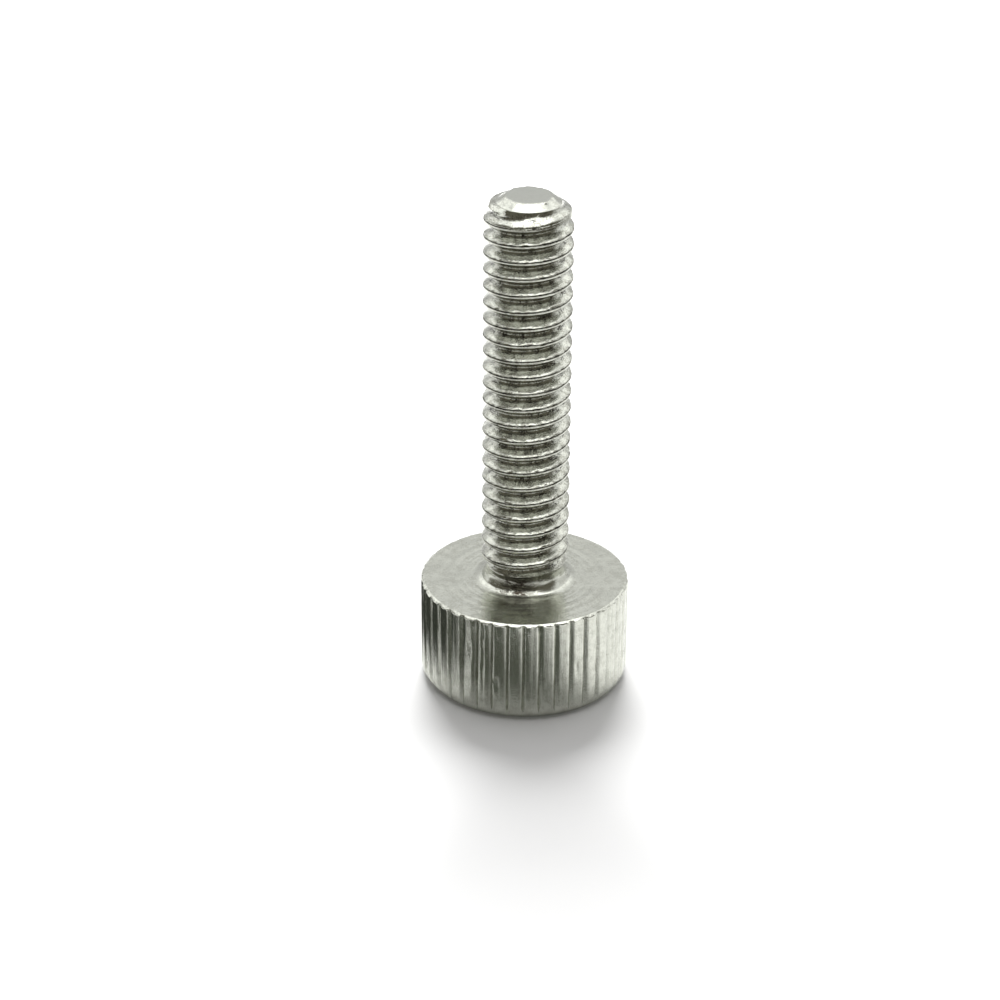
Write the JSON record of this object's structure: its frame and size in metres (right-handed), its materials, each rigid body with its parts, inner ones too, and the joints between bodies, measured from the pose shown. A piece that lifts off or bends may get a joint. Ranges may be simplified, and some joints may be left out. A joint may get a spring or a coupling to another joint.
{
  "type": "knurled thumb screw",
  "caption": "Thumb screw in one piece: a round head with a straight knurl and a flat bearing face, on a fully threaded shank with a domed end.",
  "frame": {"origin": "centre of the head's flat outer face, which is the face it stands on", "axes": "+Z along the screw's axis, from the head towards the threaded end"},
  "size_m": [0.0098, 0.0098, 0.0241],
  "materials": {
    "zinc_plated_steel": "bright zinc plating over turned and rolled steel"
  },
  "bodies": {
    "root": {"thumb_screw": "zinc_plated_steel"}
  },
  "joints": []
}
